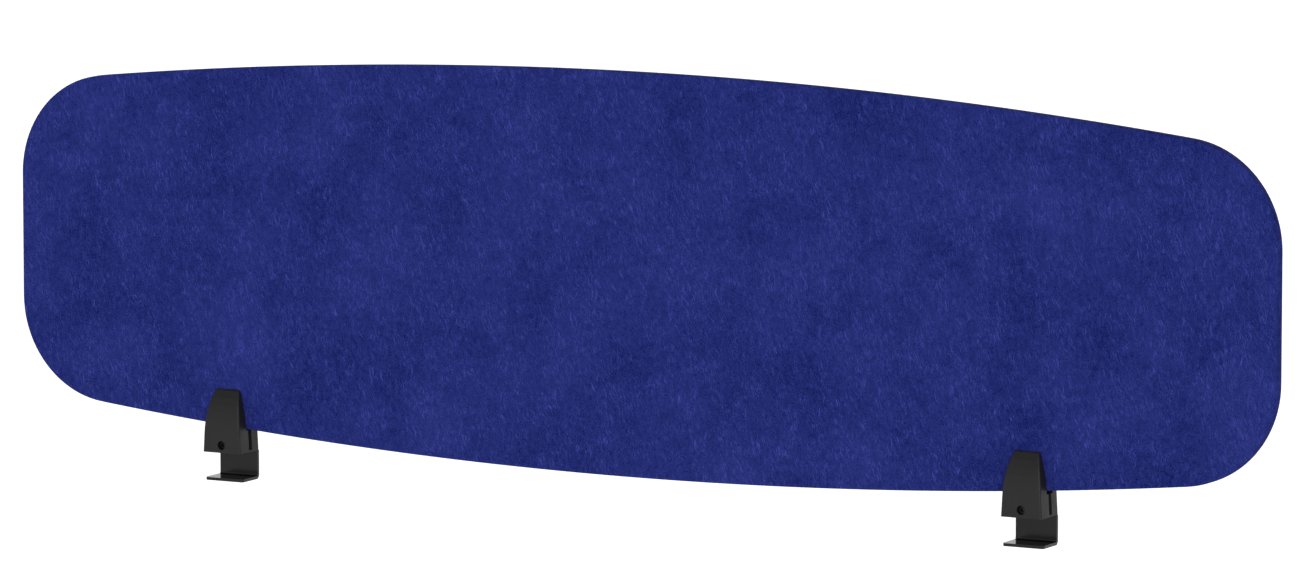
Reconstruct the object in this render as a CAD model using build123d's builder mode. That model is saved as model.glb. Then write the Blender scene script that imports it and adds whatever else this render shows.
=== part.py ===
"""Acoustic divider screen: a bowed felt panel held on a desk top by two screw clamps.

Frame: X along the panel, Y from front to back, Z up, in millimetres.
The origin lies on the desk top's surface, under the panel's middle, in the panel's mid-plane.
"""

import os
from math import sqrt

from build123d import *

# Felt panel
panel_length = 1400.0
panel_height = 400.0
panel_thickness = 12.0
panel_bow = 45.0  # rise of the long edges from the corners to the middle
panel_corner_radius = 104.0
panel_lowest = 6.5  # height of the bottom edge's middle over the desk top

# Where the clamps stand, measured from the panel's middle
left_clamp_offset = 456.3
right_clamp_offset = 439.3

# Clamp jaws, moulded
jaw_height = 63.2
jaw_base_width = 43.8
jaw_waist_width = 41.0
jaw_waist_height = 25.0  # straight taper below, curved taper above
jaw_tip_width = 26.6
front_jaw_depth = 14.2  # from its grip face to its front
front_jaw_tip_depth = 2.5
front_jaw_shoulder = 20.0  # height where the front starts to curve back
rear_jaw_depth = 9.5
rear_jaw_tip_depth = 6.0
rear_jaw_shoulder = 46.0
front_arris = 2.0
rear_arris = 1.2
edge_bevel = 0.6
front_jaw_steps = (1, 5)  # lofted, between waist and shoulder and from there to the tip
rear_jaw_steps = (3, 3)
foot_steps = 2  # lofted, from the underside up to the first of them

# Grip ridges on the faces that hold the felt
ridge_height = 0.4
ridge_base = 1.6
ridge_flank_angle = 60.0
ridge_pitch = 5.0
ridge_margin = 3.0  # from the ridge field to the jaw's tip, sides and seat
grip_clearance = 0.1  # between a ridge and the felt

# Slit under the panel, closed below by the front jaw's heel
slit_width = 6.0
heel_height = 2.0
seat_clearance = 0.1  # between the panel's edge and the shoulders of the jaws

# Coring of the front jaw behind its grip face
core_count = 3
core_width = 5.6
core_rib = 2.2
core_depth = 4.0
core_height = 18.0

# Clamp screw, a cap screw that draws the jaws together
clamp_screw_height = 7.6
clamp_screw_diameter = 5.0
clamp_screw_length = 20.0
clamp_head_diameter = 8.5
clamp_head_height = 5.0
clamp_head_bevel = 0.5
clamp_socket_width = 4.0
clamp_socket_depth = 2.5
clamp_head_recess = 3.0  # from the jaw's front to the head
clamp_washer_diameter = 9.0
counterbore_clearance = 0.1
clamp_insert_diameter = 7.0
clamp_insert_length = 8.0

# Lock screw, a button screw that holds the bracket at its height
lock_screw_height = 16.8
lock_screw_diameter = 5.0
lock_screw_length = 10.0
lock_head_diameter = 9.5
lock_head_height = 2.75
lock_head_bevel = 1.4
lock_socket_width = 3.0
lock_socket_depth = 1.5
lock_washer_diameter = 10.0
lock_insert_diameter = 7.0
lock_insert_length = 7.0

# Common to both screws
washer_thickness = 1.0
shank_clearance = 0.25
thread_clearance = 0.05
washer_clearance = 0.15
insert_end_clearance = 0.5

# Desk bracket, a bent steel plate
plate_thickness = 3.0
bracket_width = 44.0
bracket_reach = 29.2  # how far the lower plate runs under the desk top
desk_opening = 26.2
bend_inner_radius = 1.5
bracket_corner_radius = 3.0
tongue_width = 26.0
tongue_corner_radius = 4.0
tongue_head = 8.0  # from the slot's upper end to the tongue's tip
tongue_clearance = 0.2
bracket_travel = 15.0

# Rubber pad under the front jaw
pad_length = 28.0
pad_width = 11.0
pad_thickness = 1.5
pad_corner_radius = 2.0
pad_front_margin = 3.2
pad_clearance = 0.1

overrun = 2.0  # how far a cutting shape runs past what it cuts

# Worked out from the sizes above
panel_half = panel_thickness / 2
grip_face = panel_half + grip_clearance + ridge_height
slit_half = slit_width / 2
front_face = -(grip_face + front_jaw_depth)
rear_face = grip_face + rear_jaw_depth
channel_floor = rear_face - plate_thickness
bow_radius = (panel_length**2 / 4 + panel_bow**2) / (2 * panel_bow)
clamp_seat = front_face + clamp_head_recess + clamp_head_height
lock_seat = rear_face + washer_thickness


def panel_edge_height(x):
    """Height of the panel's bottom edge over the desk top, x away from the middle."""
    return panel_lowest + bow_radius - sqrt(bow_radius**2 - x**2)


widest_jaw = max(jaw_base_width, jaw_waist_width)
nearest_clamp_side = min(left_clamp_offset, right_clamp_offset) - widest_jaw / 2
seat_height = panel_edge_height(nearest_clamp_side) - seat_clearance
slot_top = lock_screw_height + bracket_travel
tongue_tip = slot_top + tongue_head
ridge_length = jaw_tip_width - 2 * ridge_margin
ridge_field = jaw_height - seat_height - 2 * ridge_margin
ridge_count = int(ridge_field / ridge_pitch) + 1
ridge_middle = (jaw_height + seat_height) / 2


def seen_from_front(centre_x, y=0):
    """Plane for outlines in X and Z at depth y, raised towards the front."""
    return Plane(origin=(centre_x, y, 0), x_dir=(1, 0, 0), z_dir=(0, -1, 0))


def seen_from_side(centre_x):
    """Plane for outlines in Y and Z through the middle of a clamp."""
    return Plane(origin=(centre_x, 0, 0), x_dir=(0, 1, 0), z_dir=(1, 0, 0))


def seen_from_above(centre_x, z=0):
    """Plane for outlines in X and Y at height z."""
    return Plane(origin=(centre_x, 0, z), x_dir=(1, 0, 0), z_dir=(0, 0, 1))


def screw_plane(centre_x, y, z, outward):
    """Plane across a screw's axis, with its normal along Y towards the head."""
    return Plane(origin=(centre_x, y, z), x_dir=(1, 0, 0), z_dir=(0, outward, 0))


def write(piece, name):
    """Label one finished piece and write it as its own STEP file."""
    piece.part.label = name
    export_step(piece.part, f"parts/{name}.step")


def felt_panel():
    """Flat board with two bowed long edges and large round corners."""
    half_length = panel_length / 2
    top = panel_lowest + panel_height
    corner_low = panel_lowest + panel_bow
    corner_high = top - panel_bow
    with BuildPart() as panel:
        with BuildSketch(seen_from_front(0)) as outline:
            with BuildLine():
                low = ThreePointArc(
                    (-half_length, corner_low), (0, panel_lowest), (half_length, corner_low)
                )
                high = ThreePointArc(
                    (half_length, corner_high), (0, top), (-half_length, corner_high)
                )
                Line(low @ 1, high @ 0)
                Line(high @ 1, low @ 0)
            make_face()
            fillet(outline.vertices(), panel_corner_radius)
        extrude(amount=panel_half, both=True)
    return panel


def curved_in(start, slope, end, height):
    """Distance out at a height, on the arc that leaves start at a slope and ends at end."""
    out, up = end[0] - start[0], end[1] - start[1]
    steepness = sqrt(1 + slope**2)
    inward = (-1 / steepness, slope / steepness)
    radius = (out**2 + up**2) / (2 * (inward[0] * out + inward[1] * up))
    centre = (start[0] + radius * inward[0], start[1] + radius * inward[1])
    return centre[0] + sqrt(radius**2 - (height - centre[1]) ** 2)


def jaw_half_width(height):
    """Half of a jaw's width: tapered straight, then curved in to a narrow tip."""
    base, waist, tip = jaw_base_width / 2, jaw_waist_width / 2, jaw_tip_width / 2
    slope = (waist - base) / jaw_waist_height
    if height <= jaw_waist_height:
        return base + slope * height
    return curved_in((waist, jaw_waist_height), slope, (tip, jaw_height), height)


def jaw_plan(centre_x, outward, depths, arris, height, inset=0):
    """Plan of a jaw at one height, with its two outer corners rounded."""
    depth, shoulder, tip_depth = depths
    if height > shoulder:
        depth = curved_in((depth, shoulder), 0, (tip_depth, jaw_height), height)
    half_width = jaw_half_width(height) - inset
    outer = outward * (grip_face + depth - inset)
    with BuildSketch(seen_from_above(centre_x, height)) as plan:
        with BuildLine():
            Polyline(
                (-half_width, slit_half),
                (half_width, slit_half),
                (half_width, outer),
                (-half_width, outer),
                close=True,
            )
        make_face()
        corners = plan.vertices().group_by(Axis.Y)[-1 if outward > 0 else 0]
        fillet(corners, arris - inset)
    return plan.sketch


def evenly(low, high, steps):
    """Heights from low up to, but without, high."""
    return [low + (high - low) * i / steps for i in range(steps)]


def jaw_body(centre_x, outward, depths, arris, steps):
    """Block of a jaw lofted from the slit's rear face outwards, bevelled round its tip."""
    low, high = sorted((jaw_waist_height, depths[1]))
    bevel_height = jaw_height - edge_bevel
    heights = evenly(0, low, foot_steps)
    heights += evenly(low, high, steps[0])
    heights += evenly(high, bevel_height, steps[1])
    heights.append(bevel_height)
    with BuildPart() as body:
        plans = [jaw_plan(centre_x, outward, depths, arris, height) for height in heights]
        plans.append(jaw_plan(centre_x, outward, depths, arris, jaw_height, edge_bevel))
        loft(plans, ruled=True)
    return body.part


def grip_ridges(centre_x, direction):
    """Ridges on a grip face, seen from the side, direction 1 where they point backwards."""
    with BuildSketch(seen_from_side(centre_x)) as ridges:
        with Locations((-direction * grip_face, ridge_middle)):
            with GridLocations(0, ridge_pitch, 1, ridge_count):
                Trapezoid(
                    ridge_base,
                    ridge_height,
                    ridge_flank_angle,
                    rotation=-direction * 90,
                    align=(Align.CENTER, Align.MIN),
                )
    return ridges.sketch


def pad_plan(centre_x, clearance):
    """Plan of the rubber pad, or of its recess where a clearance is given."""
    with BuildSketch(seen_from_above(centre_x)) as plan:
        with Locations((0, front_face + pad_front_margin + pad_width / 2)):
            RectangleRounded(
                pad_length + 2 * clearance,
                pad_width + 2 * clearance,
                pad_corner_radius + clearance,
            )
    return plan.sketch


def tongue_face(plane, clearance):
    """Bracket's tongue seen from the front, or its channel where a clearance is given."""
    with BuildSketch(plane) as tongue:
        Rectangle(
            tongue_width + 2 * clearance,
            tongue_tip + clearance,
            align=(Align.CENTER, Align.MIN),
        )
        fillet(tongue.vertices().group_by(Axis.Y)[-1], tongue_corner_radius + clearance)
    return tongue.sketch


def front_jaw(centre_x):
    """Moulded front jaw with its screw pocket, pad recess, heel, ridges and coring."""
    depths = (front_jaw_depth, front_jaw_shoulder, front_jaw_tip_depth)
    with BuildPart() as jaw:
        add(jaw_body(centre_x, -1, depths, front_arris, front_jaw_steps))
        with BuildSketch(seen_from_side(centre_x)):
            with BuildLine():
                Polyline(
                    (-grip_face, jaw_height + overrun),
                    (-grip_face, seat_height),
                    (-slit_half, seat_height),
                    (-slit_half, heel_height),
                    (slit_half + overrun, heel_height),
                    (slit_half + overrun, jaw_height + overrun),
                    close=True,
                )
            make_face()
        extrude(amount=widest_jaw, both=True, mode=Mode.SUBTRACT)

        extrude(grip_ridges(centre_x, 1), amount=ridge_length / 2, both=True)

        with BuildSketch(seen_from_front(centre_x, overrun - grip_face)):
            with Locations((0, ridge_middle)):
                with GridLocations(core_width + core_rib, 0, core_count, 1):
                    Rectangle(core_width, core_height)
        extrude(amount=overrun + core_depth, mode=Mode.SUBTRACT)

        with BuildSketch(screw_plane(centre_x, slit_half, clamp_screw_height, -1)):
            Circle(clamp_screw_diameter / 2 + shank_clearance)
        extrude(amount=slit_half - front_face, mode=Mode.SUBTRACT)
        washer_seat = clamp_seat + washer_thickness
        with BuildSketch(screw_plane(centre_x, washer_seat, clamp_screw_height, -1)):
            Circle(clamp_washer_diameter / 2 + counterbore_clearance)
        extrude(amount=washer_seat - front_face + overrun, mode=Mode.SUBTRACT)

        extrude(pad_plan(centre_x, pad_clearance), amount=pad_thickness, mode=Mode.SUBTRACT)
    return jaw


def rear_jaw(centre_x):
    """Moulded rear jaw with the bracket's channel, two insert holes and ridges."""
    depths = (rear_jaw_depth, rear_jaw_shoulder, rear_jaw_tip_depth)
    with BuildPart() as jaw:
        add(jaw_body(centre_x, 1, depths, rear_arris, rear_jaw_steps))
        with BuildSketch(seen_from_side(centre_x)):
            with BuildLine():
                Polyline(
                    (slit_half - overrun, seat_height),
                    (grip_face, seat_height),
                    (grip_face, jaw_height + overrun),
                    (slit_half - overrun, jaw_height + overrun),
                    close=True,
                )
            make_face()
        extrude(amount=widest_jaw, both=True, mode=Mode.SUBTRACT)

        extrude(grip_ridges(centre_x, -1), amount=ridge_length / 2, both=True)

        channel = tongue_face(seen_from_front(centre_x, rear_face + overrun), tongue_clearance)
        extrude(channel, amount=overrun + plate_thickness, mode=Mode.SUBTRACT)

        with BuildSketch(screw_plane(centre_x, slit_half, clamp_screw_height, 1)):
            Circle(clamp_insert_diameter / 2)
        extrude(amount=clamp_insert_length + insert_end_clearance, mode=Mode.SUBTRACT)
        with BuildSketch(screw_plane(centre_x, channel_floor, lock_screw_height, -1)):
            Circle(lock_insert_diameter / 2)
        extrude(amount=lock_insert_length + insert_end_clearance, mode=Mode.SUBTRACT)
    return jaw


def desk_pad(centre_x):
    """Thin rubber pad, flush with the front jaw's underside when the clamp is tight."""
    with BuildPart() as pad:
        extrude(pad_plan(centre_x, 0), amount=pad_thickness)
    return pad


def desk_bracket(centre_x):
    """Bent steel plate: a lower plate under the desk top, a back and a slotted tongue."""
    plate_top = -desk_opening
    plate_bottom = plate_top - plate_thickness
    lip = channel_floor - bracket_reach
    with BuildPart() as bracket:
        with BuildSketch(seen_from_side(centre_x)) as section:
            with BuildLine():
                Polyline(
                    (lip, plate_top),
                    (channel_floor, plate_top),
                    (channel_floor, tongue_tip),
                    (rear_face, tongue_tip),
                    (rear_face, plate_bottom),
                    (lip, plate_bottom),
                    close=True,
                )
            make_face()
            inner = section.vertices().group_by(Axis.Y)[1].sort_by(Axis.X)[-1]
            fillet(inner, bend_inner_radius)
            outer = section.vertices().group_by(Axis.Y)[0].sort_by(Axis.X)[-1]
            fillet(outer, bend_inner_radius + plate_thickness)
        extrude(amount=bracket_width / 2, both=True)
        with BuildSketch(seen_from_front(centre_x, rear_face)):
            Rectangle(bracket_width, -plate_bottom, align=(Align.CENTER, Align.MAX))
            add(tongue_face(Plane.XY, 0))
        extrude(amount=rear_face - lip, mode=Mode.INTERSECT)
        with BuildSketch(seen_from_front(centre_x, rear_face + overrun)):
            with Locations((0, (lock_screw_height + slot_top) / 2)):
                SlotCenterToCenter(
                    bracket_travel, lock_screw_diameter + 2 * shank_clearance, rotation=90
                )
        extrude(amount=plate_thickness + 2 * overrun, mode=Mode.SUBTRACT)
        fillet(bracket.edges().filter_by(Axis.Z).group_by(Axis.Y)[0], bracket_corner_radius)
    return bracket


def socket_screw(plane, diameter, length, head, socket, head_bevel):
    """Screw whose head sits on the plane and whose shank runs down from it."""
    head_diameter, head_height = head
    socket_width, socket_depth = socket
    with BuildPart() as screw:
        with BuildSketch(plane):
            Circle(diameter / 2)
        extrude(amount=-length)
        with BuildSketch(plane):
            Circle(head_diameter / 2)
        extrude(amount=head_height)
        crown = screw.faces().sort_by_distance(plane.offset(head_height).origin)[0]
        chamfer(crown.edges(), head_bevel)
        with BuildSketch(plane.offset(head_height)):
            RegularPolygon(socket_width / 2, 6, major_radius=False)
        extrude(amount=-socket_depth, mode=Mode.SUBTRACT)
    return screw


def flat_washer(plane, outer_diameter, screw_diameter):
    """Plain washer that lies on the plane, on the side away from the head."""
    with BuildPart() as washer:
        with BuildSketch(plane):
            Circle(outer_diameter / 2)
            Circle(screw_diameter / 2 + washer_clearance, mode=Mode.SUBTRACT)
        extrude(amount=-washer_thickness)
    return washer


def threaded_insert(plane, outer_diameter, length, screw_diameter):
    """Brass bush pressed into a jaw, bored for its screw's thread."""
    with BuildPart() as insert:
        with BuildSketch(plane):
            Circle(outer_diameter / 2)
        extrude(amount=-length)
        with BuildSketch(plane):
            Circle(screw_diameter / 2 + thread_clearance)
        extrude(amount=-length, mode=Mode.SUBTRACT)
    return insert


def write_clamp(side, centre_x):
    """Write every piece of one clamp, named for its side."""
    write(front_jaw(centre_x), f"{side}_front_jaw")
    write(rear_jaw(centre_x), f"{side}_rear_jaw")
    write(desk_pad(centre_x), f"{side}_desk_pad")
    write(desk_bracket(centre_x), f"{side}_desk_bracket")

    head_seat = screw_plane(centre_x, clamp_seat, clamp_screw_height, -1)
    insert_mouth = screw_plane(centre_x, slit_half, clamp_screw_height, -1)
    write(
        socket_screw(
            head_seat,
            clamp_screw_diameter,
            clamp_screw_length,
            (clamp_head_diameter, clamp_head_height),
            (clamp_socket_width, clamp_socket_depth),
            clamp_head_bevel,
        ),
        f"{side}_clamp_screw",
    )
    write(
        flat_washer(head_seat, clamp_washer_diameter, clamp_screw_diameter),
        f"{side}_clamp_washer",
    )
    write(
        threaded_insert(
            insert_mouth, clamp_insert_diameter, clamp_insert_length, clamp_screw_diameter
        ),
        f"{side}_clamp_insert",
    )

    head_seat = screw_plane(centre_x, lock_seat, lock_screw_height, 1)
    insert_mouth = screw_plane(centre_x, channel_floor, lock_screw_height, 1)
    write(
        socket_screw(
            head_seat,
            lock_screw_diameter,
            lock_screw_length,
            (lock_head_diameter, lock_head_height),
            (lock_socket_width, lock_socket_depth),
            lock_head_bevel,
        ),
        f"{side}_lock_screw",
    )
    write(
        flat_washer(head_seat, lock_washer_diameter, lock_screw_diameter),
        f"{side}_lock_washer",
    )
    write(
        threaded_insert(
            insert_mouth, lock_insert_diameter, lock_insert_length, lock_screw_diameter
        ),
        f"{side}_lock_insert",
    )


os.makedirs("parts", exist_ok=True)
write(felt_panel(), "acoustic_panel")
write_clamp("left", -left_clamp_offset)
write_clamp("right", right_clamp_offset)
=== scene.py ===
"""Desk-top acoustic divider: a bowed felt board in two moulded desk clamps.

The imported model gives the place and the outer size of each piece. This script adds the meshes and
finishes that show: the felt board, the jaws' nylon, the screws with their threads, the rubber pads
and the brackets' paint.
Lengths are in metres, with X along the board, Y from its front to its back and Z up.
"""

import math
from collections import namedtuple

import bmesh
import bpy
from mathutils import Matrix, Vector, noise


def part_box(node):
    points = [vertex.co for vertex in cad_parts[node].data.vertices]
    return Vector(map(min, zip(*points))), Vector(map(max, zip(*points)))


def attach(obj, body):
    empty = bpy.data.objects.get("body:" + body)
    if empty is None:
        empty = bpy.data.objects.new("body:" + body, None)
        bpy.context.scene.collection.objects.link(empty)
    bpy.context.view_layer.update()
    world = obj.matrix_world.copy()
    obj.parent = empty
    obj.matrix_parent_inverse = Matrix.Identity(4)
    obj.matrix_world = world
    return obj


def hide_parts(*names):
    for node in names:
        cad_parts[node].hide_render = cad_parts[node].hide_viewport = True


bl_info = {
    "name": "Acoustic divider screen",
    "version": (1, 0, 0),
    "blender": (4, 5, 0),
    "location": "3D Viewport > Sidebar > Divider",
    "description": "Dresses the packed desk divider with felt, moulded nylon and painted steel",
    "category": "Object",
}

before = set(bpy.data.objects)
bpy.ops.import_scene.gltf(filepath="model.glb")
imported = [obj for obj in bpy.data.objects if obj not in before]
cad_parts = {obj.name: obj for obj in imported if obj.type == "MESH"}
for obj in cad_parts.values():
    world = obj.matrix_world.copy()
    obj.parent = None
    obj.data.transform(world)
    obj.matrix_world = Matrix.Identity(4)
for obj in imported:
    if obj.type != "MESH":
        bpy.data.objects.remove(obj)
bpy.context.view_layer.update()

SIDES = ("left", "right")
MM = 0.001


def linear(code):
    """Linear RGBA of an sRGB hex code such as #1A2B3C."""
    channels = [int(code[i:i + 2], 16) / 255 for i in (1, 3, 5)]
    return (
        *(c / 12.92 if c <= 0.04045 else ((c + 0.055) / 1.055) ** 2.4 for c in channels),
        1.0,
    )


# Node helpers

# Sockets of a Mix node that is set to colours
FIRST_COLOUR, SECOND_COLOUR, MIXED_COLOUR = 6, 7, 2

# Length of the waves in which curled strands wander
WANDER = 10 * MM

# Where noise is nearly at its lowest and its highest
NOISE_LOW, NOISE_HIGH = 0.3, 0.7


def add_node(tree, kind, settings=None, inputs=None):
    """Add a node, set its properties, and set or link its inputs."""
    node = tree.nodes.new(kind)
    for name, value in (settings or {}).items():
        setattr(node, name, value)
    for key, value in (inputs or {}).items():
        if isinstance(value, bpy.types.NodeSocket):
            tree.links.new(value, node.inputs[key])
        else:
            node.inputs[key].default_value = value
    return node


def new_material(name):
    """An empty node material and the tree in it."""
    material = bpy.data.materials.new(name)
    material.use_nodes = True
    material.node_tree.nodes.clear()
    return material, material.node_tree


def pattern(tree, size, lean=0.0, detail=2.0, roughness=0.5, curl=0.0):
    """Noise whose grains measure size along X, Y and Z, leaning in the plane of the board.

    Curl is how far the grains wander off their straight line.
    """
    place = add_node(tree, "ShaderNodeTexCoord")
    point = place.outputs["Object"]
    if curl:
        drift = add_node(
            tree, "ShaderNodeTexNoise", None, {"Vector": point, "Scale": 1 / WANDER, "Detail": 0.0}
        )
        bent = add_node(
            tree,
            "ShaderNodeVectorMath",
            {"operation": "MULTIPLY_ADD"},
            {0: drift.outputs["Color"], 1: (curl, curl, curl), 2: point},
        )
        point = bent.outputs["Vector"]
    fitted = add_node(
        tree,
        "ShaderNodeMapping",
        {"vector_type": "TEXTURE"},
        {"Vector": point, "Rotation": (0, lean, 0), "Scale": size},
    )
    grains = add_node(
        tree,
        "ShaderNodeTexNoise",
        None,
        {
            "Vector": fitted.outputs["Vector"],
            "Scale": 1.0,
            "Detail": detail,
            "Roughness": roughness,
        },
    )
    return grains.outputs["Fac"]


def weighted_sum(tree, start, parts):
    """Start plus each value times its weight."""
    total = start
    for value, weight in parts:
        step = add_node(
            tree, "ShaderNodeMath", {"operation": "MULTIPLY_ADD"}, {0: value, 1: weight, 2: total}
        )
        total = step.outputs["Value"]
    return total


def surface(tree, mottle, relief, inputs, polish=None):
    """Join a shader with these inputs to the output, mottled and in relief.

    Mottle is a pattern with its dark and light colour, relief a pattern with its depth and
    strength, and polish a pattern with its lowest and highest roughness.
    """
    tone, dark, light = mottle
    colour = add_node(
        tree,
        "ShaderNodeMix",
        {"data_type": "RGBA"},
        {"Factor": tone, FIRST_COLOUR: dark, SECOND_COLOUR: light},
    )
    height, depth, strength = relief
    bump = add_node(
        tree,
        "ShaderNodeBump",
        None,
        {"Height": height, "Distance": depth, "Strength": strength},
    )
    inputs = {
        "Base Color": colour.outputs[MIXED_COLOUR],
        "Normal": bump.outputs["Normal"],
        **inputs,
    }
    if polish:
        gloss, smooth, rough = polish
        roughness = add_node(
            tree,
            "ShaderNodeMapRange",
            None,
            {
                "Value": gloss,
                "From Min": NOISE_LOW,
                "From Max": NOISE_HIGH,
                "To Min": smooth,
                "To Max": rough,
            },
        )
        inputs["Roughness"] = roughness.outputs["Result"]
    shader = add_node(tree, "ShaderNodeBsdfPrincipled", None, inputs)
    add_node(tree, "ShaderNodeOutputMaterial", None, {"Surface": shader.outputs["BSDF"]})


# Settings


class FeltSettings(bpy.types.PropertyGroup):
    """Shape and colour of the felt board."""

    bow: bpy.props.FloatProperty(
        name="Bow",
        description="How far the long edges draw in from their middle to the board's ends",
        default=45 * MM,
        min=0.0,
        subtype="DISTANCE",
        unit="LENGTH",
    )
    corner_radius: bpy.props.FloatProperty(
        name="Corner radius",
        description="Radius of the board's four corners",
        default=104 * MM,
        min=0.0,
        subtype="DISTANCE",
        unit="LENGTH",
    )
    cut_edge: bpy.props.FloatProperty(
        name="Cut edge",
        description="How far the fibres round off along the cut edge",
        default=0.9 * MM,
        min=0.0,
        subtype="DISTANCE",
        unit="LENGTH",
    )
    waviness: bpy.props.FloatProperty(
        name="Waviness",
        description="Depth of the shallow hollows that pressing leaves in the faces",
        default=0.12 * MM,
        min=0.0,
        subtype="DISTANCE",
        unit="LENGTH",
    )
    # The felt's random mottle runs between these two colours. The mottle is also the relief's
    # height, so the dark colour is partly painted shade in the hollows and the light colour partly
    # painted light on the raised fibres.
    dark: bpy.props.FloatVectorProperty(
        name="Dark fibres",
        description="Colour in the hollows between the fibres",
        default=linear("#071452"),
        size=4,
        min=0.0,
        max=1.0,
        subtype="COLOR",
    )
    light: bpy.props.FloatVectorProperty(
        name="Light fibres",
        description="Colour of the fibres that lie on top",
        default=linear("#3C469A"),
        size=4,
        min=0.0,
        max=1.0,
        subtype="COLOR",
    )


class ClampSettings(bpy.types.PropertyGroup):
    """Edges, threads and colours of the desk clamps."""

    edge_radius: bpy.props.FloatProperty(
        name="Edge radius",
        description="Rounding of the clamps' sharp edges",
        default=0.3 * MM,
        min=0.0,
        subtype="DISTANCE",
        unit="LENGTH",
    )
    thread_pitch: bpy.props.FloatProperty(
        name="Thread pitch",
        description="Distance from one turn of a screw's thread to the next",
        default=0.8 * MM,
        min=0.1 * MM,
        subtype="DISTANCE",
        unit="LENGTH",
    )
    nylon: bpy.props.FloatVectorProperty(
        name="Nylon",
        description="Colour of the moulded jaws",
        default=linear("#161617"),
        size=4,
        min=0.0,
        max=1.0,
        subtype="COLOR",
    )
    paint: bpy.props.FloatVectorProperty(
        name="Powder coat",
        description="Colour of the brackets' powder coat",
        default=linear("#0D0D0E"),
        size=4,
        min=0.0,
        max=1.0,
        subtype="COLOR",
    )


class StageSettings(bpy.types.PropertyGroup):
    """Camera, light and floor."""

    lens: bpy.props.FloatProperty(
        name="Focal length",
        description="Focal length of the camera on its 36 mm wide sensor, in millimetres",
        default=246.8,
        min=1.0,
    )
    distance: bpy.props.FloatProperty(
        name="Camera distance",
        description="Distance from the camera to the board's middle",
        default=8.7395,
        min=0.1,
        subtype="DISTANCE",
        unit="LENGTH",
    )
    turn: bpy.props.FloatProperty(
        name="Turn",
        description="How far the camera stands round to the board's right",
        default=math.radians(28.609),
        subtype="ANGLE",
        unit="ROTATION",
    )
    tilt: bpy.props.FloatProperty(
        name="Tilt",
        description="How far the camera looks down",
        default=math.radians(7.323),
        subtype="ANGLE",
        unit="ROTATION",
    )
    floor_drop: bpy.props.FloatProperty(
        name="Desk height",
        description="Height of the desk top over the floor",
        default=0.72,
        min=0.0,
        subtype="DISTANCE",
        unit="LENGTH",
    )
    ambient: bpy.props.FloatProperty(
        name="Room light",
        description="Strength of the soft light from the walls all round",
        default=1.3,
        min=0.0,
    )
    overhead: bpy.props.FloatProperty(
        name="Overhead light",
        description="Strength of the soft light from straight above",
        default=0.15,
        min=0.0,
    )
    floor_glow: bpy.props.FloatProperty(
        name="Floor light",
        description="Strength of the soft light that the floor throws up",
        default=0.12,
        min=0.0,
    )
    floor_white: bpy.props.FloatProperty(
        name="Floor white",
        description="What the eye sees added to the lit floor, to make it white round its shadow",
        default=0.72,
        min=0.0,
        max=1.0,
    )
    flag: bpy.props.FloatProperty(
        name="Flag",
        description="Share of the room light that the flag on the right lets through",
        default=0.3,
        min=0.0,
        max=1.0,
    )
    key: bpy.props.FloatProperty(
        name="Key light",
        description="Strength of the soft light from above and beside the camera",
        default=1.15,
        min=0.0,
    )
    front: bpy.props.FloatProperty(
        name="Front light",
        description="Strength of the soft light from just beside the camera",
        default=0.88,
        min=0.0,
    )
    rear: bpy.props.FloatProperty(
        name="Rear light",
        description="Strength of the soft light on the board's back",
        default=1.3,
        min=0.0,
    )


# Finishes


def shade(colour, share):
    """A colour made lighter or darker."""
    return tuple(share * channel for channel in colour[:3]) + (1.0,)


def pressed_felt(settings):
    """Needled polyester felt, heat-pressed: matt, mottled, with stray fibres lying on top.

    Real fibres are a few hundredths of a millimetre thick. They are drawn as strands 1 mm wide,
    because thinner ones don't show in the render.
    """
    material, tree = new_material("pressed_felt")
    clouds = pattern(tree, (80 * MM, 30 * MM, 84 * MM))
    patches = pattern(tree, (13 * MM, 12 * MM, 15 * MM), detail=1.0)
    tufts = pattern(tree, (5 * MM, 6 * MM, 7 * MM), lean=math.radians(-12), detail=1.0)
    grain = pattern(tree, (1.2 * MM, 1.5 * MM, 1.6 * MM), detail=1.0)
    strand = {"roughness": 0.6, "curl": 3 * MM}
    leaning = pattern(tree, (1.0 * MM, 1.6 * MM, 8 * MM), lean=math.radians(-27), **strand)
    upright = pattern(tree, (1.0 * MM, 1.6 * MM, 7 * MM), lean=math.radians(3), **strand)
    strays = pattern(
        tree, (0.9 * MM, 1.6 * MM, 14 * MM), lean=math.radians(-17), detail=0.0, curl=7 * MM
    )
    loose = add_node(
        tree,
        "ShaderNodeMapRange",
        None,
        {"Value": patches, "From Min": 0.35, "From Max": 0.65, "To Min": 0.15, "To Max": 0.56},
    )
    # Each pattern with its weight in the tone. Strands show best in the loose patches.
    parts = [(clouds, 0.43), (patches, 0.1), (tufts, 0.4), (grain, 0.85)]
    for strands, thin, full in ((leaning, 0.55, 0.77), (upright, 0.55, 0.77), (strays, 0.64, 0.76)):
        shown = add_node(
            tree, "ShaderNodeMapRange", None, {"Value": strands, "From Min": thin, "From Max": full}
        )
        parts.append((shown.outputs["Result"], loose.outputs["Result"]))
    # The start puts the tone's middle between the two colours.
    tone = weighted_sum(tree, -0.605, parts)
    # The tone is also the relief's height. Besides the felt's own random mottle, the dark colour in
    # the hollows is painted shade and the light colour on the raised fibres and strands is painted
    # light.
    surface(
        tree,
        mottle=(tone, tuple(settings.dark), tuple(settings.light)),
        relief=(tone, 0.5 * MM, 0.5),
        inputs={
            "Roughness": 0.95,
            "Specular IOR Level": 0.05,
            "Sheen Weight": 0.02,
            "Sheen Roughness": 0.5,
            "Sheen Tint": linear("#6C7AC8"),
        },
    )
    return material


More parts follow.
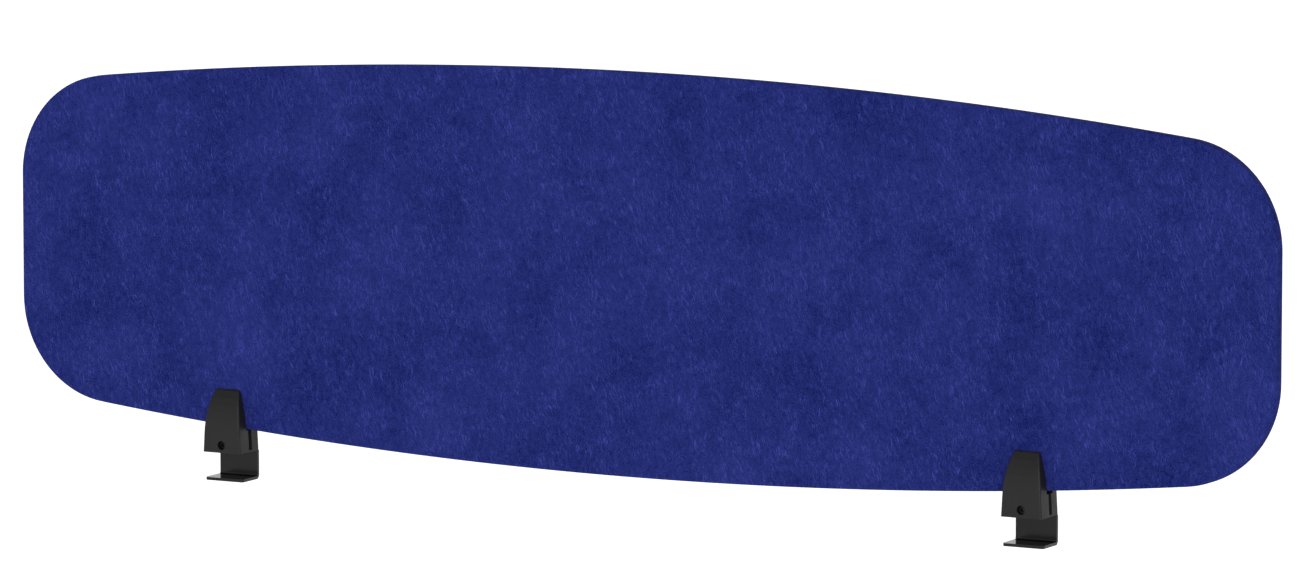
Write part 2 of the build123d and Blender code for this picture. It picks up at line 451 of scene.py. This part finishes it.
def moulded_nylon(settings):
    """Glass-filled nylon from an eroded mould: near black, satin, with a fine even grain.

    The grain of such a mould is under 0.1 mm wide, and is drawn 0.34 mm wide so that it shows.
    """
    material, tree = new_material("moulded_nylon")
    flow = pattern(tree, (9 * MM, 9 * MM, 16 * MM))
    grain = pattern(tree, (0.34 * MM, 0.34 * MM, 0.34 * MM), roughness=0.65)
    tone = weighted_sum(tree, 0.0, ((flow, 0.5), (grain, 0.5)))
    surface(
        tree,
        mottle=(tone, shade(settings.nylon, 0.8), shade(settings.nylon, 1.25)),
        relief=(grain, 0.06 * MM, 0.6),
        polish=(flow, 0.5, 0.6),
        inputs={"IOR": 1.53, "Specular IOR Level": 0.27},
    )
    return material


def powder_coated_steel(settings):
    """Bent sheet under satin black powder coat: a soft sheen over a faint orange peel.

    The specks stand for powder grains of under 0.1 mm, and are drawn 0.3 mm wide so that they show.
    """
    material, tree = new_material("powder_coated_steel")
    peel = pattern(tree, (1.3 * MM, 1.3 * MM, 1.3 * MM), detail=1.0)
    specks = pattern(tree, (0.3 * MM, 0.3 * MM, 0.3 * MM), roughness=0.7)
    height = weighted_sum(tree, 0.0, ((peel, 0.7), (specks, 0.3)))
    surface(
        tree,
        mottle=(specks, tuple(settings.paint), shade(settings.paint, 1.4)),
        relief=(height, 0.05 * MM, 0.4),
        polish=(peel, 0.14, 0.2),
        inputs={"IOR": 1.5, "Specular IOR Level": 0.25},
    )
    return material


def black_oxide_steel():
    """Heat-treated alloy steel, black oxide finish and oiled: dark metal with marks along Y.

    The marks are left by drawing the wire, under 0.1 mm wide, and are drawn 0.25 mm wide to show.
    """
    material, tree = new_material("black_oxide_steel")
    marks = pattern(tree, (0.25 * MM, 1.5 * MM, 0.25 * MM))
    film = pattern(tree, (2.2 * MM, 2.2 * MM, 2.2 * MM), detail=3.0)
    surface(
        tree,
        mottle=(film, linear("#1C1B1B"), linear("#323133")),
        relief=(marks, 0.02 * MM, 0.5),
        polish=(marks, 0.28, 0.42),
        inputs={"Metallic": 1.0},
    )
    return material


def turned_brass():
    """Free-cutting brass, turned: warm yellow metal with the fine rings of the tool's feed.

    The rings of such a part are 0.05 to 0.1 mm apart, and are drawn 0.15 mm apart to show.
    """
    material, tree = new_material("turned_brass")
    rings = pattern(tree, (4 * MM, 0.15 * MM, 4 * MM), detail=1.0)
    tarnish = pattern(tree, (2.5 * MM, 2.5 * MM, 2.5 * MM), detail=3.0)
    surface(
        tree,
        mottle=(tarnish, linear("#A98443"), linear("#D9B56A")),
        relief=(rings, 0.03 * MM, 0.5),
        polish=(tarnish, 0.24, 0.38),
        inputs={"Metallic": 1.0},
    )
    return material


def moulded_rubber():
    """Nitrile rubber pad: matt black with a chalky bloom, in the fine grain of its mould.

    The grain is under 0.1 mm wide, and is drawn 0.25 mm wide so that it shows.
    """
    material, tree = new_material("moulded_rubber")
    bloom = pattern(tree, (3 * MM, 3 * MM, 3 * MM), detail=3.0)
    grain = pattern(tree, (0.25 * MM, 0.25 * MM, 0.25 * MM))
    surface(
        tree,
        mottle=(bloom, linear("#151515"), linear("#262627")),
        relief=(grain, 0.05 * MM, 0.6),
        polish=(bloom, 0.78, 0.9),
        inputs={"IOR": 1.52},
    )
    return material


# Meshes

# Points closer than this are one point
SAME_POINT = 1e-6

# Sizes of the broad and the fine hollows in the felt's faces along X, Y and Z
BROAD_HOLLOWS = (90 * MM, 50 * MM, 110 * MM)
FINE_HOLLOWS = (18 * MM, 50 * MM, 23 * MM)

# Turns of a felt edge's rings from its middle, in degrees. The middle is straight.
EDGE_TURNS = (-60, -30, -1, 1, 30, 60)

# Points round a screw, and rings along one turn of its thread
SCREW_SIDES = 48
RINGS_PER_TURN = 8

# A metric thread: its depth, its flat crest and its flank as shares of the pitch
THREAD_DEPTH_SHARE = 0.613
CREST_SHARE = 0.12
FLANK_SHARE = 0.66

# Turns over which the thread fades at the shank's end, and the plain length under the head
FADING_TURNS = 1.5
PLAIN_LENGTH = 0.6 * MM

# Chamfer of a screw's head and socket, and the flat at the socket's bottom as a share of its width
HEAD_CHAMFER = 0.15 * MM
SOCKET_FLAT_SHARE = 0.35

ScrewShape = namedtuple(
    "ScrewShape",
    "head_radius head_height crown shank_radius shank_length socket_width socket_depth",
)


def domed_crown(radius, rise, angles):
    """Crown of a domed head: steps in from its side and down from its top."""
    turns = [math.radians(angle) for angle in angles]
    return [(radius * (1 - math.sin(turn)), rise * (1 - math.cos(turn))) for turn in turns]


CAP_SCREW = ScrewShape(
    head_radius=4.25 * MM,
    head_height=5 * MM,
    crown=((0.5 * MM, 0.0), (0.15 * MM, 0.15 * MM), (0.0, 0.5 * MM)),
    shank_radius=2.5 * MM,
    shank_length=20 * MM,
    socket_width=4 * MM,
    socket_depth=2.5 * MM,
)
BUTTON_SCREW = ScrewShape(
    head_radius=4.75 * MM,
    head_height=2.75 * MM,
    crown=domed_crown(4.75 * MM, 2.1 * MM, (38, 50, 60, 70, 80, 90)),
    shank_radius=2.5 * MM,
    shank_length=10 * MM,
    socket_width=3 * MM,
    socket_depth=1.5 * MM,
)


def link_object(name, mesh):
    """A new object for a mesh, in the scene."""
    piece = bpy.data.objects.new(name, mesh)
    bpy.context.scene.collection.objects.link(piece)
    return piece


def mesh_from(name, points, faces, sharp_angle):
    """A mesh shaded smooth, with edges sharper than the angle kept crisp."""
    mesh = bpy.data.meshes.new(name)
    mesh.from_pydata([tuple(p) for p in points], [], faces)
    mesh.validate()
    made = bmesh.new()
    made.from_mesh(mesh)
    bmesh.ops.remove_doubles(made, verts=made.verts, dist=SAME_POINT)
    bmesh.ops.recalc_face_normals(made, faces=made.faces)
    made.to_mesh(mesh)
    made.free()
    for face in mesh.polygons:
        face.use_smooth = True
    mesh.set_sharp_from_angle(angle=sharp_angle)
    return mesh


def joined_rings(rings, capped=True):
    """Points and faces of a tube through rings with as many points each, closed if capped."""
    count = len(rings[0])
    points = [point for ring in rings for point in ring]
    faces = []
    for i in range(len(rings) - 1):
        for j in range(count):
            k = (j + 1) % count
            faces.append(
                (i * count + j, i * count + k, (i + 1) * count + k, (i + 1) * count + j)
            )
    for i in (0, len(rings) - 1) if capped else ():
        points.append(sum((Vector(p) for p in rings[i]), Vector()) / count)
        faces += [
            (i * count + j, i * count + (j + 1) % count, len(points) - 1) for j in range(count)
        ]
    return points, faces


def board_outline(settings, low, high, step):
    """Corner-rounded outline of the board in X and Z, with its outward directions."""
    half = (high.x - low.x) / 2
    half_height = (high.z - low.z) / 2
    middle = (high.z + low.z) / 2
    radius = (half**2 + settings.bow**2) / (2 * settings.bow)
    corner = settings.corner_radius
    centre_x = half - corner
    bow_centre = half_height - radius
    corner_z = bow_centre + math.sqrt((radius - corner) ** 2 - centre_x**2)
    reach = math.atan2(centre_x, corner_z - bow_centre)
    quarter = []
    # The upper edge from its middle, the corner and the upper half of the end
    steps = max(1, round(reach * radius / step))
    for i in range(steps):
        turn = reach * i / steps
        way = Vector((math.sin(turn), math.cos(turn)))
        quarter.append((Vector((0, bow_centre)) + radius * way, way))
    steps = max(1, round((math.pi / 2 - reach) * corner / step))
    for i in range(steps + 1):
        turn = reach + (math.pi / 2 - reach) * i / steps
        way = Vector((math.sin(turn), math.cos(turn)))
        quarter.append((Vector((centre_x, corner_z)) + corner * way, way))
    side_steps = max(1, round(corner_z / step))
    for i in range(1, side_steps):
        quarter.append((Vector((half, corner_z * (1 - i / side_steps))), Vector((1, 0))))

    # Round the board: the quarter, mirrored down, to the left and up again
    outline = list(quarter)
    outline.append((Vector((half, 0)), Vector((1, 0))))
    for flip_x, flip_z, part in (
        (1, -1, reversed(quarter)),
        (-1, -1, quarter[1:]),
    ):
        outline += [
            (Vector((p.x * flip_x, p.y * flip_z)), Vector((n.x * flip_x, n.y * flip_z)))
            for p, n in part
        ]
    outline.append((Vector((-half, 0)), Vector((-1, 0))))
    outline += [
        (Vector((-p.x, p.y)), Vector((-n.x, n.y))) for p, n in reversed(quarter[1:])
    ]
    return [(Vector((p.x, p.y + middle)), n) for p, n in outline], middle


def felt_board(settings):
    """The board as one closed mesh: wavy faces, fibres rounded off along the cut edge."""
    low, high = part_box("acoustic_panel")
    step = 7 * MM
    outline, middle = board_outline(settings, low, high, step)
    half_depth = (high.y - low.y) / 2
    soft = settings.cut_edge
    spine_end = (high.x - low.x) / 2 - (high.z - low.z) / 2
    ring_count = round((high.z - low.z) / 2 / step)
    broad_share, fine_share, sink = 0.7, 0.3, 0.5

    def wave(point):
        broad = noise.noise(Vector([p / size for p, size in zip(point, BROAD_HOLLOWS)]))
        fine = noise.noise(Vector([p / size for p, size in zip(point, FINE_HOLLOWS)]))
        return settings.waviness * (broad_share * broad + fine_share * fine - sink)

    def face_ring(side, share):
        ring = []
        for p, n in outline:
            edge = p - soft * n
            spine = Vector((max(-spine_end, min(spine_end, edge.x)), middle))
            at = edge.lerp(spine, share)
            point = (at.x, side * half_depth, at.y)
            ring.append((at.x, side * (half_depth + wave(point)), at.y))
        return ring

    def edge_ring(turn):
        inset = soft * (1 - math.cos(turn))
        depth = math.copysign(half_depth - soft * (1 - abs(math.sin(turn))), turn)
        return [(p.x - inset * n.x, depth, p.y - inset * n.y) for p, n in outline]

    shares = [i / ring_count for i in range(ring_count, -1, -1)]
    rings = [face_ring(-1, share) for share in shares]
    rings += [edge_ring(math.radians(angle)) for angle in EDGE_TURNS]
    rings += [face_ring(1, share) for share in reversed(shares)]
    points, faces = joined_rings(rings, capped=False)
    return link_object("felt_board", mesh_from("felt_board", points, faces, math.radians(80)))


def screw_rings(shape, pitch):
    """Rings of a socket screw about Z: head up from z = 0, threaded shank down from it."""
    turns = [math.tau * j / SCREW_SIDES for j in range(SCREW_SIDES)]
    thread_depth = THREAD_DEPTH_SHARE * pitch
    top = shape.head_height
    socket_end = top - shape.socket_depth

    def circle(radius, z):
        return [(radius * math.cos(t), radius * math.sin(t), z) for t in turns]

    def hexagon(width, z):
        ring = []
        for t in turns:
            off_flat = (t + math.radians(30)) % math.radians(60) - math.radians(30)
            radius = width / 2 / math.cos(off_flat)
            ring.append((radius * math.cos(t), radius * math.sin(t), z))
        return ring

    def threaded(z):
        ring = []
        started = min(1, max(0, (-z - PLAIN_LENGTH) / pitch))
        left = min(1, max(0, (z + shape.shank_length) / (FADING_TURNS * pitch)))
        for t in turns:
            phase = abs(((z / pitch - t / math.tau) % 1) * 2 - 1)
            depth = thread_depth * min(1, max(0, (phase - CREST_SHARE) / FLANK_SHARE))
            radius = shape.shank_radius - max(depth * started, thread_depth * (1 - left))
            ring.append((radius * math.cos(t), radius * math.sin(t), z))
        return ring

    rings = [circle(SOCKET_FLAT_SHARE * shape.socket_width, socket_end)]
    rings.append(hexagon(shape.socket_width, socket_end))
    rings.append(hexagon(shape.socket_width, top - HEAD_CHAMFER))
    rings.append(hexagon(shape.socket_width + 2 * HEAD_CHAMFER, top))
    for inset, drop in shape.crown:
        rings.append(circle(shape.head_radius - inset, top - drop))
    rings.append(circle(shape.head_radius, HEAD_CHAMFER))
    rings.append(circle(shape.head_radius - HEAD_CHAMFER, 0))
    rings.append(circle(shape.shank_radius, 0))
    rows = round(shape.shank_length / pitch * RINGS_PER_TURN)
    rings += [threaded(-shape.shank_length * i / rows) for i in range(1, rows + 1)]
    return rings


def screw(name, node, outward, shape, pitch):
    """A socket screw in the place of its CAD node, with its head on the outward side of Y."""
    low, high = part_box(node)
    centre = (low + high) / 2
    head_end = high.y if outward > 0 else low.y
    seat = head_end - outward * shape.head_height
    points, faces = joined_rings(screw_rings(shape, pitch))
    turn = Matrix.Rotation(math.radians(-90 * outward), 4, "X")
    move = Matrix.Translation((centre.x, seat, centre.z))
    placed = [move @ turn @ Vector(p) for p in points]
    return link_object(name, mesh_from(name, placed, faces, math.radians(35)))


def rubber_pad(name, node):
    """A thin pad with soft edges and a raised lip round its underside."""
    low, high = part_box(node)
    half_x, half_y = (high.x - low.x) / 2, (high.y - low.y) / 2
    centre = (low + high) / 2
    corner, corner_steps = 2 * MM, 8
    soft = 0.25 * MM
    lip_height = 0.25 * MM
    lip_edge, lip_foot, field = 1.1 * MM, 1.3 * MM, 1.6 * MM
    outline = []
    for k, (turn_x, turn_y) in enumerate(((1, 1), (-1, 1), (-1, -1), (1, -1))):
        for i in range(corner_steps + 1):
            turn = math.radians(90 * k + 90 * i / corner_steps)
            way = Vector((math.cos(turn), math.sin(turn)))
            middle = Vector((turn_x * (half_x - corner), turn_y * (half_y - corner)))
            outline.append((middle + corner * way, way))

    def ring(inset, z):
        return [
            (centre.x + p.x - inset * n.x, centre.y + p.y - inset * n.y, z) for p, n in outline
        ]

    rings = [ring(field, low.z + lip_height), ring(lip_foot, low.z + lip_height)]
    rings += [ring(lip_edge, low.z), ring(soft, low.z), ring(0.0, low.z + soft)]
    rings += [ring(0.0, high.z - soft), ring(soft, high.z)]
    points, faces = joined_rings(rings)
    return link_object(name, mesh_from(name, points, faces, math.radians(40)))


def smooth_shading(angle):
    """Geometry nodes that shade a mesh smooth, but for edges sharper than the angle."""
    tree = bpy.data.node_groups.new("smooth_shading", "GeometryNodeTree")
    for way in ("INPUT", "OUTPUT"):
        tree.interface.new_socket("Geometry", in_out=way, socket_type="NodeSocketGeometry")
    start = add_node(tree, "NodeGroupInput")
    plain = add_node(
        tree,
        "GeometryNodeRemoveAttribute",
        None,
        {"Geometry": start.outputs["Geometry"], "Name": "custom_normal"},
    )
    faces = add_node(
        tree,
        "GeometryNodeSetShadeSmooth",
        {"domain": "FACE"},
        {"Geometry": plain.outputs["Geometry"], "Shade Smooth": True},
    )
    corner = add_node(tree, "GeometryNodeInputMeshEdgeAngle")
    shallow = add_node(
        tree,
        "FunctionNodeCompare",
        {"data_type": "FLOAT", "operation": "LESS_THAN"},
        {0: corner.outputs["Unsigned Angle"], 1: angle},
    )
    edges = add_node(
        tree,
        "GeometryNodeSetShadeSmooth",
        {"domain": "EDGE"},
        {"Geometry": faces.outputs["Geometry"], "Shade Smooth": shallow.outputs["Result"]},
    )
    add_node(tree, "NodeGroupOutput", None, {"Geometry": edges.outputs["Geometry"]})
    return tree


# Edges sharper than this are rounded
ROUNDED_FROM = math.radians(32)

# Edges of the jaws sharper than this are shaded crisp
JAW_CRISP_FROM = math.radians(50)

# Rounding of a washer's edges
WASHER_EDGE = 0.12 * MM


def finish_node(name, material, edge_radius, shading=None):
    """Give a CAD node its material, and rounded edges where a radius is given."""
    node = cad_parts[name]
    node.data.materials.clear()
    node.data.materials.append(material)
    if edge_radius:
        weld = node.modifiers.new("weld", "WELD")
        weld.merge_threshold = SAME_POINT
        bevel = node.modifiers.new("edges", "BEVEL")
        bevel.width = edge_radius
        bevel.segments = 2
        bevel.limit_method = "ANGLE"
        bevel.angle_limit = ROUNDED_FROM
        bevel.use_clamp_overlap = True
        bevel.harden_normals = False
    if shading:
        node.modifiers.new("shading", "NODES").node_group = shading
        weighted = node.modifiers.new("normals", "WEIGHTED_NORMAL")
        weighted.keep_sharp = True


def carry(piece, body, material, node):
    """Give a new piece its material, and let it ride in place of a CAD node."""
    piece.data.materials.append(material)
    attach(piece, body)
    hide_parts(node)


# Operators


class DIVIDER_OT_felt_board(bpy.types.Operator):
    """Make the felt board"""

    bl_idname = "divider.felt_board"
    bl_label = "Felt board"

    def execute(self, context):
        settings = context.scene.divider_felt
        board = felt_board(settings)
        carry(board, "panel", pressed_felt(settings), "acoustic_panel")
        return {"FINISHED"}


class DIVIDER_OT_jaws(bpy.types.Operator):
    """Finish the moulded jaws"""

    bl_idname = "divider.jaws"
    bl_label = "Moulded jaws"

    def execute(self, context):
        settings = context.scene.divider_clamp
        nylon = moulded_nylon(settings)
        shading = smooth_shading(JAW_CRISP_FROM)
        for side in SIDES:
            finish_node(f"{side}_front_jaw", nylon, settings.edge_radius, shading)
            finish_node(f"{side}_rear_jaw", nylon, settings.edge_radius, shading)
        return {"FINISHED"}


class DIVIDER_OT_brackets(bpy.types.Operator):
    """Finish the bent desk brackets"""

    bl_idname = "divider.brackets"
    bl_label = "Desk brackets"

    def execute(self, context):
        settings = context.scene.divider_clamp
        paint = powder_coated_steel(settings)
        for side in SIDES:
            finish_node(f"{side}_desk_bracket", paint, settings.edge_radius)
        return {"FINISHED"}


class DIVIDER_OT_fasteners(bpy.types.Operator):
    """Make the screws with their threads, and finish the washers and inserts"""

    bl_idname = "divider.fasteners"
    bl_label = "Screws, washers and inserts"

    def execute(self, context):
        pitch = context.scene.divider_clamp.thread_pitch
        steel, brass = black_oxide_steel(), turned_brass()
        for side in SIDES:
            for kind, place, outward, shape in (
                ("cap", "clamp", -1, CAP_SCREW),
                ("button", "lock", 1, BUTTON_SCREW),
            ):
                node = f"{side}_{place}_screw"
                made = screw(f"{side}_{kind}_screw", node, outward, shape, pitch)
                carry(made, node, steel, node)
                finish_node(f"{side}_{place}_washer", steel, WASHER_EDGE)
                finish_node(f"{side}_{place}_insert", brass, 0)
        return {"FINISHED"}


class DIVIDER_OT_pads(bpy.types.Operator):
    """Make the rubber pads under the front jaws"""

    bl_idname = "divider.pads"
    bl_label = "Rubber pads"

    def execute(self, context):
        rubber = moulded_rubber()
        for side in SIDES:
            pad = rubber_pad(f"{side}_rubber_pad", f"{side}_desk_pad")
            carry(pad, f"{side}_front_jaw", rubber, f"{side}_desk_pad")
        return {"FINISHED"}


class DIVIDER_OT_stage(bpy.types.Operator):
    """Make the floor, the light and the camera"""

    bl_idname = "divider.stage"
    bl_label = "Stage"

    def execute(self, context):
        settings = context.scene.divider_stage
        context.scene.view_settings.view_transform = "Standard"
        pale_floor(settings)
        white_room(settings)
        studio_lights(settings)
        photo_camera(settings)
        return {"FINISHED"}


# Stage

# How far the floor reaches each way
FLOOR_REACH = 300.0

# Heights, as shares of straight up, over which the walls darken and the flag comes in
CEILING = 0.72
FLAG_START, FLAG_FULL = 0.03, 0.15

# How far round to the right the flag starts and is full, as shares of straight right
FLAG_LEFT, FLAG_RIGHT = 0.4, 0.8

# Where each soft lamp shines from, and how wide it is
KEY_FROM, KEY_WIDTH = Vector((0.62, -0.75, 0.36)), math.radians(40)
FRONT_FROM, FRONT_WIDTH = Vector((0.35, -0.93, 0.1)), math.radians(60)
REAR_FROM, REAR_WIDTH = Vector((-0.5, 0.86, 0.1)), math.radians(60)

# How far the board's middle lies right of and above the middle of the picture
ASIDE, ABOVE = -20.52 * MM, 15.79 * MM


def in_sight(tree):
    """1 for what the eye sees, straight, in a gloss or through glass, and 0 for light on matt."""
    path = add_node(tree, "ShaderNodeLightPath")
    rays = [path.outputs[f"Is {kind} Ray"] for kind in ("Camera", "Glossy", "Transmission")]
    sight = rays[0]
    for ray in rays[1:]:
        either = add_node(tree, "ShaderNodeMath", {"operation": "MAXIMUM"}, {0: sight, 1: ray})
        sight = either.outputs["Value"]
    return sight


def pale_floor(settings):
    """A wide pale floor below the screen, open to a camera under it."""
    corners = [
        (x * FLOOR_REACH, y * FLOOR_REACH, -settings.floor_drop)
        for x, y in ((-1, -1), (1, -1), (1, 1), (-1, 1))
    ]
    mesh = bpy.data.meshes.new("floor")
    mesh.from_pydata(corners, [], [(0, 1, 2, 3)])
    floor = link_object("floor", mesh)
    material, tree = new_material("matt_white_paint")
    diffuse = add_node(tree, "ShaderNodeBsdfDiffuse", None, {"Color": linear("#E6E6E6")})
    strength = add_node(
        tree,
        "ShaderNodeMapRange",
        None,
        {"Value": in_sight(tree), "To Min": settings.floor_glow, "To Max": settings.floor_white},
    )
    glow = add_node(
        tree,
        "ShaderNodeEmission",
        None,
        {"Color": linear("#FFFFFF"), "Strength": strength.outputs["Result"]},
    )
    lit = add_node(
        tree, "ShaderNodeAddShader", None, {0: diffuse.outputs["BSDF"], 1: glow.outputs["Emission"]}
    )
    clear = add_node(tree, "ShaderNodeBsdfTransparent")
    side = add_node(tree, "ShaderNodeNewGeometry")
    one_sided = add_node(
        tree,
        "ShaderNodeMixShader",
        None,
        {0: side.outputs["Backfacing"], 1: lit.outputs["Shader"], 2: clear.outputs["BSDF"]},
    )
    add_node(tree, "ShaderNodeOutputMaterial", None, {"Surface": one_sided.outputs["Shader"]})
    mesh.materials.append(material)


def white_room(settings):
    """White walls that light everything softly, under a darker ceiling, with a flag on the right.

    The walls are white to the eye as well. The flag starts above eye level.
    """
    world = bpy.data.worlds.new("white_room")
    world.use_nodes = True
    tree = world.node_tree
    tree.nodes.clear()
    place = add_node(tree, "ShaderNodeTexCoord")
    heading = add_node(tree, "ShaderNodeSeparateXYZ", None, {0: place.outputs["Generated"]})
    walls = add_node(
        tree,
        "ShaderNodeMapRange",
        None,
        {
            "Value": heading.outputs["Z"],
            "From Max": CEILING,
            "To Min": settings.ambient,
            "To Max": settings.overhead,
        },
    )
    flag = add_node(
        tree,
        "ShaderNodeMapRange",
        None,
        {
            "Value": heading.outputs["Z"],
            "From Min": FLAG_START,
            "From Max": FLAG_FULL,
            "To Min": 1.0,
            "To Max": settings.flag,
        },
    )
    sideways = add_node(
        tree,
        "ShaderNodeMapRange",
        None,
        {
            "Value": heading.outputs["X"],
            "From Min": FLAG_LEFT,
            "From Max": FLAG_RIGHT,
            "To Min": 1.0,
            "To Max": flag.outputs["Result"],
        },
    )
    strength = add_node(
        tree,
        "ShaderNodeMath",
        {"operation": "MULTIPLY"},
        {0: walls.outputs["Result"], 1: sideways.outputs["Result"]},
    )
    room = add_node(
        tree,
        "ShaderNodeBackground",
        None,
        {"Color": linear("#FFFFFF"), "Strength": strength.outputs["Value"]},
    )
    add_node(tree, "ShaderNodeOutputWorld", None, {"Surface": room.outputs["Background"]})
    bpy.context.scene.world = world


def soft_light(name, strength, towards, width, in_gloss=True):
    """A soft lamp that shines from that direction. Gloss can mirror it, unless in_gloss is off."""
    lamp = bpy.data.lights.new(name, "SUN")
    lamp.energy = strength
    lamp.angle = width
    light = link_object(name, lamp)
    light.rotation_euler = towards.to_track_quat("Z", "Y").to_euler()
    light.visible_glossy = in_gloss


def studio_lights(settings):
    """The key light above and beside the camera, the front light and the rear light.

    The rear light fills matt surfaces only, so that the brackets don't mirror it.
    """
    soft_light("key", settings.key, KEY_FROM, KEY_WIDTH)
    soft_light("front", settings.front, FRONT_FROM, FRONT_WIDTH)
    soft_light("rear", settings.rear, REAR_FROM, REAR_WIDTH, in_gloss=False)


def photo_camera(settings):
    """The camera in the photograph's place, aimed past the board's middle."""
    low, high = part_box("acoustic_panel")
    turn, tilt = settings.turn, settings.tilt
    right = Vector((math.cos(turn), math.sin(turn), 0))
    back = Vector(
        (math.sin(turn) * math.cos(tilt), -math.cos(turn) * math.cos(tilt), math.sin(tilt))
    )
    up = back.cross(right)
    data = bpy.data.cameras.new("photo_camera")
    data.lens = settings.lens
    data.sensor_width = 36.0
    data.clip_end = 1000.0
    camera = link_object("photo_camera", data)
    place = (low + high) / 2 - ASIDE * right - ABOVE * up + settings.distance * back
    turned = Matrix((right, up, back)).transposed().to_4x4()
    camera.matrix_world = Matrix.Translation(place) @ turned
    bpy.context.scene.camera = camera


# Panel and registration


class DIVIDER_PT_panel(bpy.types.Panel):
    """Sizes and steps of the divider screen"""

    bl_idname = "DIVIDER_PT_panel"
    bl_label = "Divider screen"
    bl_space_type = "VIEW_3D"
    bl_region_type = "UI"
    bl_category = "Divider"

    def draw(self, context):
        for group, operators in STEPS:
            box = self.layout.box()
            settings = getattr(context.scene, group)
            for name in settings.__annotations__:
                box.prop(settings, name)
            for operator in operators:
                box.operator(operator.bl_idname)


STEPS = (
    ("divider_felt", (DIVIDER_OT_felt_board,)),
    (
        "divider_clamp",
        (DIVIDER_OT_jaws, DIVIDER_OT_brackets, DIVIDER_OT_fasteners, DIVIDER_OT_pads),
    ),
    ("divider_stage", (DIVIDER_OT_stage,)),
)
GROUPS = {
    "divider_felt": FeltSettings,
    "divider_clamp": ClampSettings,
    "divider_stage": StageSettings,
}
OPERATORS = [operator for group, operators in STEPS for operator in operators]


def register():
    """Register the settings, the operators and the panel."""
    for name, group in GROUPS.items():
        bpy.utils.register_class(group)
        setattr(bpy.types.Scene, name, bpy.props.PointerProperty(type=group))
    for kind in (*OPERATORS, DIVIDER_PT_panel):
        bpy.utils.register_class(kind)


def unregister():
    """Take back what register does."""
    for kind in (DIVIDER_PT_panel, *reversed(OPERATORS)):
        bpy.utils.unregister_class(kind)
    for name, group in GROUPS.items():
        delattr(bpy.types.Scene, name)
        bpy.utils.unregister_class(group)


def main():
    """Make every piece and the stage."""
    register()
    for operator in OPERATORS:
        family, name = operator.bl_idname.split(".")
        getattr(getattr(bpy.ops, family), name)()
    bpy.context.view_layer.update()


if __name__ == "__main__":
    main()
